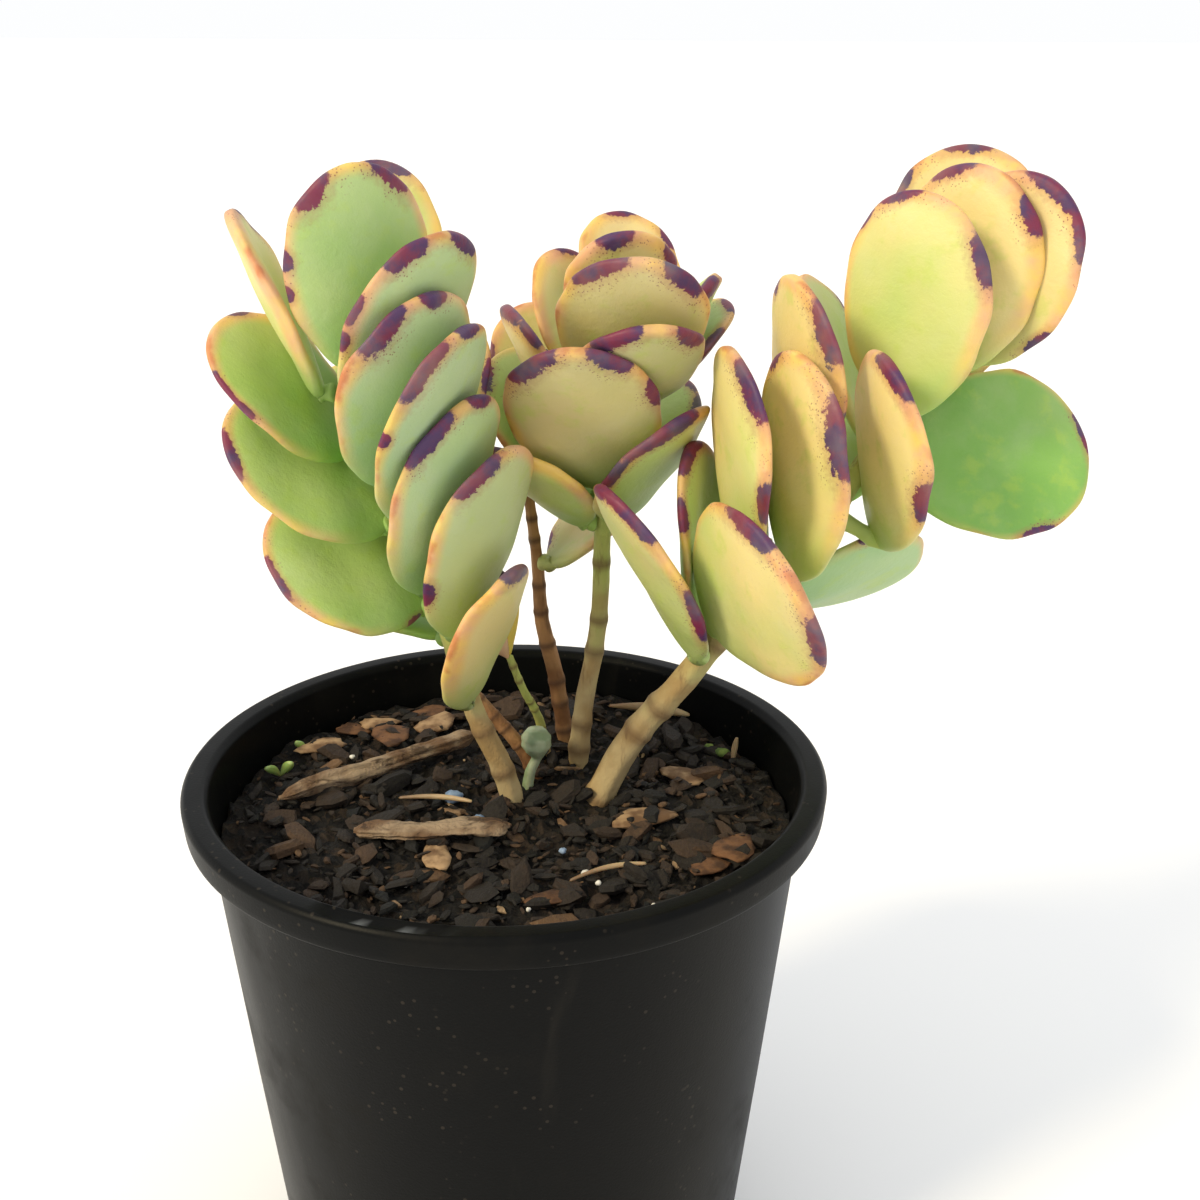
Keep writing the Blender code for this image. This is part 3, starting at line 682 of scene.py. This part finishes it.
def pot_finish():
    """Black plastic under thin dust and smears; the label slot's ends are scuffed pale."""
    plastic = Finish("black_plastic", Specular_IOR_Level=0.08)
    dust = plastic.noise(34.0, 5.0, 0.62).between(0.5, 0.78)
    scuff = plastic.field("scuff")
    smear = plastic.noise(26.0, 4.0, 0.6, where=plastic.stretched(1.0, 1.0, 0.35), distortion=0.8)
    grain = plastic.noise(1800.0, 3.0, 0.6)
    speck = (0.20 - plastic.cells(420.0)).between(0.0, 0.06) * plastic.noise(60.0).between(0.5, 0.6)
    colour = (dust * 0.07).tint((0.0022, 0.0025, 0.0025), (0.06, 0.05, 0.035))
    colour = (smear.between(0.62, 0.76) * 0.07).tint(colour, (0.10, 0.085, 0.065))
    colour = (speck * 0.2).tint(colour, (0.10, 0.08, 0.06))
    colour = (scuff * 0.8).tint(colour, (0.14, 0.15, 0.16))
    plastic.wear(Base_Color=colour, Roughness=0.30 + 0.20 * smear + 0.16 * dust)
    plastic.bump(0.7 * grain + 1.2 * smear, 0.12, 0.0005)
    return plastic.material


verts, faces, fields = pot_surface()
pot = add_mesh("fine_nursery_pot", verts, faces, pot_finish(), **fields)
holes = []
for place in np.arange(DRAIN_HOLES) * 2 * math.pi / DRAIN_HOLES:
    bpy.ops.mesh.primitive_cylinder_add(
        vertices=40, radius=DRAIN_RADIUS, depth=8 * MM,
        location=(DRAIN_CIRCLE * math.cos(place), DRAIN_CIRCLE * math.sin(place), 1 * MM))
    holes.append(bpy.context.object)
    cut = pot.modifiers.new("drain_hole", "BOOLEAN")
    cut.operation = "DIFFERENCE"
    cut.solver = "EXACT"
    cut.object = holes[-1]
drained = bpy.data.meshes.new_from_object(pot.evaluated_get(bpy.context.evaluated_depsgraph_get()))
pot.modifiers.clear()
pot.data = drained
for hole in holes:
    bpy.data.objects.remove(hole)
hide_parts("nursery_pot")

# ---------------------------------------------------------------- potting mix
# Composted bark, dark and loose: a bed of fine crumbs under hundreds of chips, with a few pale
# grains of perlite, blue beads of fertiliser, roots and seedlings.

BED_SIDES = 150
BED_RINGS = 70
BED_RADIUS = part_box("potting_soil")[1].x


def bed_height(x, y):
    """Height of the bed in metres from places in mm: a slow slope and waves, as in the CAD solid."""
    wave = np.sin(x * 0.21 + 0.6) * np.cos(y * 0.17) + 0.6 * np.sin(x * 0.09 - y * 0.23)
    return (117.0 + 0.035 * y + 0.8 * wave) * MM


def crumbs(x, y):
    """Small heaps of crumbs: products of waves at four sizes, turned against each other."""
    out = 0 * x
    for size, lift, turn in ((9.0, 0.8, 0.3), (5.1, 0.6, 1.4), (2.9, 0.4, 2.2), (1.7, 0.25, 0.9)):
        u = (x * math.cos(turn) + y * math.sin(turn)) * 2 * math.pi / size
        v = (y * math.cos(turn) - x * math.sin(turn)) * 2 * math.pi / size
        out = out + lift * np.sin(u + 1.5 * np.sin(0.31 * v)) * np.sin(v + 1.3 * np.sin(0.37 * u))
    return out * MM


def bed_surface():
    """A disc of rings whose heights are the bed's, closed below by a plain drum."""
    rim = BED_RADIUS / MM
    radius = np.concatenate([[20, rim - 12.5, rim - 1.0], np.linspace(rim, 0.6, BED_RINGS)])
    turn = (np.arange(BED_SIDES) * 2 * math.pi / BED_SIDES)[None]
    x = radius[:, None] * np.cos(turn)
    y = radius[:, None] * np.sin(turn)
    z = bed_height(x, y) + crumbs(x, y)
    z[:2] = 2.3 * MM
    z[2] = 110 * MM
    rings = np.stack((x * MM, y * MM, z), axis=-1)
    verts = np.concatenate([[(0, 0, 2.3 * MM)], rings.reshape(-1, 3), [(0, 0, bed_height(0.0, 0.0))]])
    return verts, closed_skin(len(rings), BED_SIDES)


def bed_finish():
    """Damp crumbs: cells from nearly black to dark brown, with brown and rust flecks."""
    mix = Finish("bark_crumbs", Specular_IOR_Level=0.25)
    lump = mix.cells(420.0)
    tone = mix.cells(420.0, out="Color")
    fine = mix.noise(1100.0, 4.0, 0.7)
    share = mix.start.step("ShaderNodeSeparateColor", {}, {"Color": tone}, 0)
    colour = share.between(0.55, 1.0).tint((0.009, 0.008, 0.007), (0.034, 0.023, 0.015))
    colour = (fine.between(0.56, 0.78) * 0.5).tint(colour, (0.075, 0.048, 0.028))
    mix.wear(Base_Color=colour, Roughness=0.75 + 0.2 * fine)
    mix.bump(2.0 * lump + 1.0 * fine, 0.9, 0.0012)
    return mix.material


verts, faces = bed_surface()
bed = add_mesh("potting_bed", verts, faces, bed_finish())
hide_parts("potting_soil")

CHIP_SIDES = 7


def chip_finish(name):
    """Bark: dull brown over a paler core, streaked along the grain."""
    wood = Finish(name, Specular_IOR_Level=0.3)
    tone = wood.field("tone")
    streak = wood.noise(520.0, 4.0, 0.65, where=wood.stretched(1.0, 0.4, 1.6))
    fine = wood.noise(1500.0, 3.0, 0.6)
    colour = tone.step("ShaderNodeValToRGB", {"stops": (
        (0.0, (0.007, 0.007, 0.006)), (0.42, (0.017, 0.013, 0.010)), (0.66, (0.050, 0.029, 0.017)),
        (0.84, (0.14, 0.078, 0.038)), (1.0, (0.36, 0.25, 0.145)))}, {0: tone + 0.25 * (streak - 0.5)})
    colour = (fine.between(0.5, 0.8) * 0.35).tint(colour, (0.02, 0.014, 0.01))
    wood.wear(Base_Color=colour, Roughness=0.6 + 0.3 * fine)
    wood.bump(1.5 * streak + 0.6 * fine, 0.7, 0.0006)
    return wood.material


def chips(count, seed, sizes, reach, tones, lift):
    """Many flattened, crooked chips of bark, all in one mesh.

    Each is three rings round a flat middle, its radius and height scattered corner by corner, then
    stretched to its size, turned, tilted and laid on the bed. It repeats as whole arrays.
    """
    rng = np.random.default_rng(seed)
    turn = np.arange(CHIP_SIDES) * 2 * math.pi / CHIP_SIDES
    ring = np.stack((np.cos(turn), np.sin(turn)), axis=-1)
    jag = rng.uniform(0.62, 1.15, (count, 1, CHIP_SIDES, 1))
    spread = np.array((0.80, 1.0, 0.78))[None, :, None, None]
    flat = ring[None, None] * jag * spread * rng.uniform(0.9, 1.1, (count, 3, CHIP_SIDES, 1))
    level = np.array((-1.0, 0.05, 1.0))[None, :, None] * rng.uniform(0.75, 1.2, (count, 3, CHIP_SIDES))
    shape = np.concatenate([flat, level[..., None]], axis=-1).reshape(count, -1, 3)
    poles = np.zeros((count, 2, 3))
    poles[:, 0, 2], poles[:, 1, 2] = -1.0, 1.05
    shape = np.concatenate([poles[:, :1], shape, poles[:, 1:]], axis=1)
    long = rng.uniform(*sizes, count) * rng.uniform(0.6, 1.3, count)
    wide = long * rng.uniform(0.28, 0.75, count)
    tall = long * rng.uniform(0.10, 0.26, count)
    shape = shape * (np.stack((long, wide, tall), 1) / 2)[:, None]
    yaw = rng.uniform(0, 2 * math.pi, count)
    pitch = rng.normal(0, 0.28, count)
    roll = rng.normal(0, 0.32, count)
    shape = turned_by(shape, pitch, 1)
    shape = turned_by(shape, roll, 0)
    shape = turned_by(shape, yaw, 2)
    radius = reach * np.sqrt(rng.uniform(0, 1, count))
    heading = rng.uniform(0, 2 * math.pi, count)
    x, y = radius * np.cos(heading), radius * np.sin(heading)
    z = bed_height(x, y) / MM + lift + rng.uniform(-0.3, 1.1, count)
    verts = (shape + np.stack((x, y, z), 1)[:, None]) * MM
    one = closed_skin(3, CHIP_SIDES)
    per = 2 + 3 * CHIP_SIDES
    faces = [tuple(i + per * k for i in face) for k in range(count) for face in one]
    tone = np.clip(rng.normal(tones[0], tones[1], count), 0, 1)
    return verts.reshape(-1, 3), faces, np.repeat(tone, per)


def turned_by(points, angles, axis):
    """Each group of points turned by its own angle about one axis."""
    a, b = [(1, 2), (2, 0), (0, 1)][axis]
    c, s = np.cos(angles)[:, None], np.sin(angles)[:, None]
    out = points.copy()
    out[..., a] = c * points[..., a] - s * points[..., b]
    out[..., b] = s * points[..., a] + c * points[..., b]
    return out


chip_wood = chip_finish("bark_chip_wood")
for name, count, seed, sizes, reach, tones, lift in (
    ("fine_chips", 1500, 11, (1.2, 3.0), 61.5, (0.42, 0.22), 0.3),
    ("bark_chips", 520, 12, (3.5, 8.0), 59.0, (0.40, 0.20), 0.7),
    ("big_bark_chips", 60, 13, (8.0, 13.0), 52.0, (0.45, 0.20), 0.9),
):
    verts, faces, tone = chips(count, seed, sizes, reach, tones, lift)
    piece = add_mesh(name, verts, faces, chip_wood, tone=tone)
    piece.data.set_sharp_from_angle(angle=math.radians(38))

# ---------------------------------------------------------------- small things on the bed
# Grains of perlite, a puffed white rock; blue beads of slow fertiliser; torn plates of outer bark;
# and tufts of moss. Each row is where one lies, its length, width and height in mm, and its heading.

PERLITE = ((17.4, -27, 1.8, 1.5, 1.4, 10), (20, -29.8, 1.3, 1.2, 1.1, 50), (-19.6, -29.6, 1.9, 1.5, 1.3, 80),
           (31, -38, 1.2, 1.0, 0.9, 20), (-38, 24, 1.5, 1.2, 1.0, 0), (6, -40, 1.1, 1.0, 0.9, 70))
BLUE_BEADS = ((-12.7, 6, 4.4, 3.6, 2.8, 20), (-6.2, -4.7, 2.8, 2.4, 2.2, 60), (12.5, -16.8, 1.6, 1.5, 1.3, 0),
              (3, -24, 1.4, 1.3, 1.2, 30))
TAN_PLATES = ((-46, 29, 12, 7, 1.6, 25), (-19.6, 40, 13, 8, 1.8, 60), (-34, 42, 10, 6, 1.5, 10),
              (30, -4, 15, 8, 1.8, 20), (40, 16, 12, 7, 1.5, 140), (-14, -20, 13, 6, 1.6, 100))
BROWN_PLATES = ((49, -18, 12, 9, 1.4, 70), (43, -23.5, 9, 7, 1.4, 30), (-30, 34, 12, 9, 1.6, 110),
                (-40, 40, 9, 6, 1.4, 160), (-22, 48, 10, 8, 1.6, 40), (10, -36, 10, 5, 1.4, 15))
MOSS = ((50, 27, 3.4, 2.8, 2.0, 0), (47, 30, 2.6, 2.0, 1.6, 40))


def pebbles(places, seed, sides=14, rows=9):
    """Uneven lumps, all in one mesh: ellipsoids whose radius waves with the angles, laid on the bed."""
    rng = np.random.default_rng(seed)
    level = np.linspace(0.12, math.pi - 0.12, rows)[:, None]
    turn = (np.arange(sides) * 2 * math.pi / sides)[None]
    verts = []
    faces = []
    for x, y, long, wide, tall, heading in places:
        phase = rng.uniform(0, 6.28, 3)
        swell = 1 + 0.12 * np.sin(3 * turn + phase[0]) * np.sin(level)
        swell = swell + 0.08 * np.sin(5 * turn + 4 * level + phase[1])
        flat_x = np.sin(level) * np.cos(turn) * long / 2 * swell
        flat_y = np.sin(level) * np.sin(turn) * wide / 2 * swell
        lump = np.stack((flat_x, flat_y, -np.cos(level) * tall / 2 * swell), axis=-1).reshape(-1, 3)
        lump = np.concatenate([[(0, 0, -tall / 2)], lump, [(0, 0, tall / 2)]])
        lump = turned_by(lump[None], np.array([math.radians(heading)]), 2)[0]
        base = bed_height(x, y) / MM + 1.2 + 0.2 * tall
        faces += [tuple(i + len(verts) for i in face) for face in closed_skin(rows, sides)]
        verts += (lump + (x, y, base)).tolist()
    return np.array(verts) * MM, faces


def plain_finish(name, low, high, roughness, scale=300.0):
    """One colour clouded into another, with a fine grain."""
    skin = Finish(name, Roughness=roughness, Specular_IOR_Level=0.3)
    skin.wear(Base_Color=skin.noise(scale, 3.0).between(0.35, 0.65).tint(low, high))
    skin.bump(skin.noise(1200.0, 3.0, 0.6), 0.5, 0.0004)
    return skin.material


white_perlite = plain_finish("white_perlite", (0.62, 0.60, 0.54), (0.80, 0.78, 0.72), 0.8)
blue_bead = plain_finish("blue_bead", (0.10, 0.17, 0.30), (0.30, 0.40, 0.55), 0.6)
tan_bark = plain_finish("tan_bark", (0.14, 0.075, 0.035), (0.40, 0.26, 0.14), 0.75, 240.0)
brown_bark = plain_finish("brown_bark", (0.06, 0.028, 0.014), (0.17, 0.08, 0.035), 0.75)
green_moss = plain_finish("moss", (0.08, 0.13, 0.03), (0.25, 0.34, 0.08), 0.9)
for name, places, seed, finish in (
    ("perlite", PERLITE, 21, white_perlite),
    ("fertiliser_beads", BLUE_BEADS, 22, blue_bead),
    ("tan_bark_plates", TAN_PLATES, 23, tan_bark),
    ("brown_bark_plates", BROWN_PLATES, 24, brown_bark),
    ("moss_tufts", MOSS, 25, green_moss),
):
    verts, faces = pebbles(places, seed)
    add_mesh(name, verts, faces, finish)

# ---------------------------------------------------------------- young leaves and rootlets
# The weak shoot's own pair of tiny leaves, one yellow with a black tip and one folded and beige,
# then seedlings and dry rootlets, thinner blades of the same make, that stand or lie in the mix.

YOUNG_SIDES = 18
YOUNG_RINGS = 22


def blade_between(foot, tip, wide, fold, side):
    """A small fleshy leaf from foot to tip in mm: rings of flat ovals that are widest at two thirds."""
    foot, tip = np.array(foot, float), np.array(tip, float)
    along = unit(tip - foot)
    across = unit(np.cross(along, side))
    out = np.cross(across, along)
    share = np.linspace(0.03, 0.99, YOUNG_RINGS)[:, None]
    turn = (np.arange(YOUNG_SIDES) * 2 * math.pi / YOUNG_SIDES)[None]
    half = wide / 2 * np.sin(math.pi * share**1.35) ** 0.75 + 0.25
    thick = 0.32 * half + 0.25
    bow = fold * np.sin(math.pi * share) + 0.35 * half * np.cos(turn) ** 2
    rings = (foot + (tip - foot) * share[..., None] + (half * np.cos(turn))[..., None] * across
             + (thick * np.sin(turn) + bow)[..., None] * out)
    verts = np.concatenate([[foot], rings.reshape(-1, 3), [tip]]) * MM
    height = np.concatenate([[0.0], (share + 0 * turn).reshape(-1), [1.0]])
    return verts, closed_skin(len(rings), YOUNG_SIDES), height


def small_leaf_finish(name, low, high, tip, tip_at):
    """A young leaf: one colour at the foot, another above, and a third past a share of its length."""
    leaf = Finish(name, Roughness=0.45, Subsurface_Weight=0.15, Subsurface_Scale=0.002)
    up = leaf.field("height")
    cloud = leaf.noise(400.0, 3.0)
    colour = (up + 0.3 * (cloud - 0.5)).between(0.0, 0.7).tint(low, high)
    colour = (up + 0.12 * (cloud - 0.5)).between(tip_at, tip_at + 0.06).tint(colour, tip)
    leaf.wear(Base_Color=colour)
    leaf.bump(leaf.noise(900.0), 0.3, 0.0003)
    return leaf.material


yellow_leaf = small_leaf_finish(
    "yellow_leaf", low=(0.62, 0.50, 0.08), high=(0.78, 0.56, 0.10), tip=(0.03, 0.012, 0.02), tip_at=0.80)
beige_leaf = small_leaf_finish(
    "beige_leaf", low=(0.56, 0.36, 0.20), high=(0.70, 0.46, 0.30), tip=(0.60, 0.34, 0.22), tip_at=0.90)
seedling = small_leaf_finish(
    "seedling", low=(0.20, 0.24, 0.07), high=(0.28, 0.42, 0.10), tip=(0.36, 0.50, 0.16), tip_at=0.80)
rootlet = small_leaf_finish(
    "rootlet", low=(0.20, 0.12, 0.06), high=(0.42, 0.30, 0.16), tip=(0.42, 0.30, 0.16), tip_at=0.95)
for name, foot, tip, wide, fold, finish in (
    ("weak_leaf_yellow", (0.3, 14.3, 149.5), (-2.5, 13.0, 171.0), 7.0, 1.0, yellow_leaf),
    ("weak_leaf_beige", (0.0, 14.0, 149.0), (-5.5, 9.5, 156.0), 6.0, 1.2, beige_leaf),
    ("seedling_a_left", (-54, 18, 117.5), (-57, 16, 120.5), 2.0, 0.3, seedling),
    ("seedling_a_right", (-54, 18, 117.5), (-51, 18, 121.0), 2.0, 0.3, seedling),
    ("seedling_b", (-50, 29, 117.5), (-52, 28, 121.5), 1.8, 0.3, seedling),
    ("rootlet_a", (-25, 5, 118.6), (-8, 1, 119.8), 0.9, 0.8, rootlet),
    ("rootlet_b", (14, -30, 118.0), (30, -25, 119.2), 0.8, 1.2, rootlet),
    ("rootlet_c", (52, 22, 118.0), (53, 23, 125.0), 1.0, 0.4, rootlet),
    ("tan_twig", (22.8, 52.0, 120.0), (43.4, 45.0, 120.6), 2.8, 0.6, rootlet),
):
    verts, faces, height = blade_between(foot, tip, wide, fold, (0.0, 1.0, 0.3))
    piece = add_mesh(name, verts, faces, finish, height=height)

# ---------------------------------------------------------------- fallen wood
# A dead twig and a split length of bark lie on the mix, weathered grey-brown.


WOOD_SIDES = 36
WOOD_RINGS = 110


def wood_surface(name, seed, flat):
    """A crooked rod along a CAD piece's spine, flattened, with ridges along it and frayed ends."""
    line, radii = resampled(*spine(name, 40, axis=0), WOOD_RINGS)
    along = np.gradient(line, axis=0)
    along /= np.linalg.norm(along, axis=1)[:, None]
    side = np.cross(along, (0.0, 0.0, 1.0))
    side /= np.linalg.norm(side, axis=1)[:, None]
    up = np.cross(side, along)
    share = np.linspace(0, 1, len(line))[:, None]
    turn = (np.arange(WOOD_SIDES) * 2 * math.pi / WOOD_SIDES)[None]
    rng = np.random.default_rng(seed)
    phase = rng.uniform(0, 6.28, 4)
    ridge = 0.10 * np.sin(5 * turn + 6 * share + phase[0]) + 0.07 * np.sin(9 * turn - 4 * share + phase[1])
    knot = 0.16 * np.sin(13 * share + phase[2]) * np.sin(turn + phase[3]) + 0.05 * np.sin(57 * share)
    taper = np.clip(np.minimum(share, 1 - share) * 16, 0.25, 1) ** 0.6
    wide = radii[:, None] / flat * (1 + ridge + knot) * taper * np.cos(turn)
    tall = radii[:, None] * (1 + ridge + knot) * taper * np.sin(turn)
    rings = line[:, None] + wide[..., None] * side[:, None] + tall[..., None] * up[:, None]
    verts = np.concatenate([[line[0]], rings.reshape(-1, 3), [line[-1]]])
    return verts, [face[::-1] for face in closed_skin(len(line), WOOD_SIDES)]


def dead_wood_finish():
    """Weathered twig: grey-tan outside, darker in its long cracks."""
    wood = Finish("weathered_wood", Specular_IOR_Level=0.25)
    crack = wood.noise(330.0, 4.0, 0.7, where=wood.stretched(0.35, 0.6, 1.6), distortion=0.4)
    patch = wood.noise(110.0, 3.0)
    fine = wood.noise(1300.0, 3.0, 0.6)
    colour = patch.between(0.38, 0.62).tint((0.15, 0.085, 0.045), (0.33, 0.24, 0.155))
    colour = (crack.between(0.5, 0.64) * 0.8).tint(colour, (0.045, 0.025, 0.014))
    wood.wear(Base_Color=colour, Roughness=0.7 + 0.25 * fine)
    wood.bump(2.0 * crack + 0.6 * fine, 0.8, 0.0009)
    return wood.material


weathered_wood = dead_wood_finish()
for name, seed, flat in (("long_twig", 5, 0.85), ("split_bark", 6, 0.40)):
    verts, faces = wood_surface(name, seed, flat)
    piece = add_mesh("fine_" + name, verts, faces, weathered_wood)
    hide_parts(name)

# ---------------------------------------------------------------- light, floor and camera
# A white room with a matt painted floor, low warm sun from the front left, and the camera above the
# plant's front at arm's length.

studio = bpy.context.scene
studio.view_settings.view_transform = "Standard"
world = bpy.data.worlds.new("pale_room")
studio.world = world
world.use_nodes = True
sky = world.node_tree.nodes["Background"]
sky.inputs["Color"].default_value = (0.985, 0.993, 1.0, 1.0)
sky.inputs["Strength"].default_value = 1.0


def add_sun(name, toward, softness, strength, colour):
    """A distant light that shines along a direction, with edges softened by its width in degrees."""
    lamp = bpy.data.lights.new(name, "SUN")
    lamp.angle = math.radians(softness)
    lamp.energy = strength
    lamp.color = colour
    light = bpy.data.objects.new(name, lamp)
    studio.collection.objects.link(light)
    away = -np.array(toward, float)
    yaw = math.atan2(away[0], -away[1])
    light.rotation_euler = (math.acos(away[2] / np.linalg.norm(away)), 0.0, yaw)


add_sun("key_light", (1.05, 0.72, -0.85), 14.0, 2.3, (1.0, 0.85, 0.56))

floor_mesh = bpy.data.meshes.new("pale_floor")
FLOOR_REACH = 30
floor_corners = [(x * FLOOR_REACH, y * FLOOR_REACH, 0) for x, y in ((-1, -1), (1, -1), (1, 1), (-1, 1))]
floor_mesh.from_pydata(floor_corners, [], [(0, 1, 2, 3)])
floor_paint = Finish("pale_paint", Roughness=0.9)
floor_paint.wear(Base_Color=floor_paint.noise(3.0).tint((0.94, 0.94, 0.94), (0.97, 0.97, 0.97)))
floor_mesh.materials.append(floor_paint.material)
floor = bpy.data.objects.new("pale_floor", floor_mesh)
studio.collection.objects.link(floor)

lens = bpy.data.cameras.new("camera")
lens.lens = 46.02
lens.sensor_width = 36.0
camera = bpy.data.objects.new("camera", lens)
studio.collection.objects.link(camera)
camera.location = (0.0176, -0.3040, 0.2822)
camera.rotation_euler = (math.radians(90 - 20.55), math.radians(-0.23), math.radians(-0.43))
studio.camera = camera
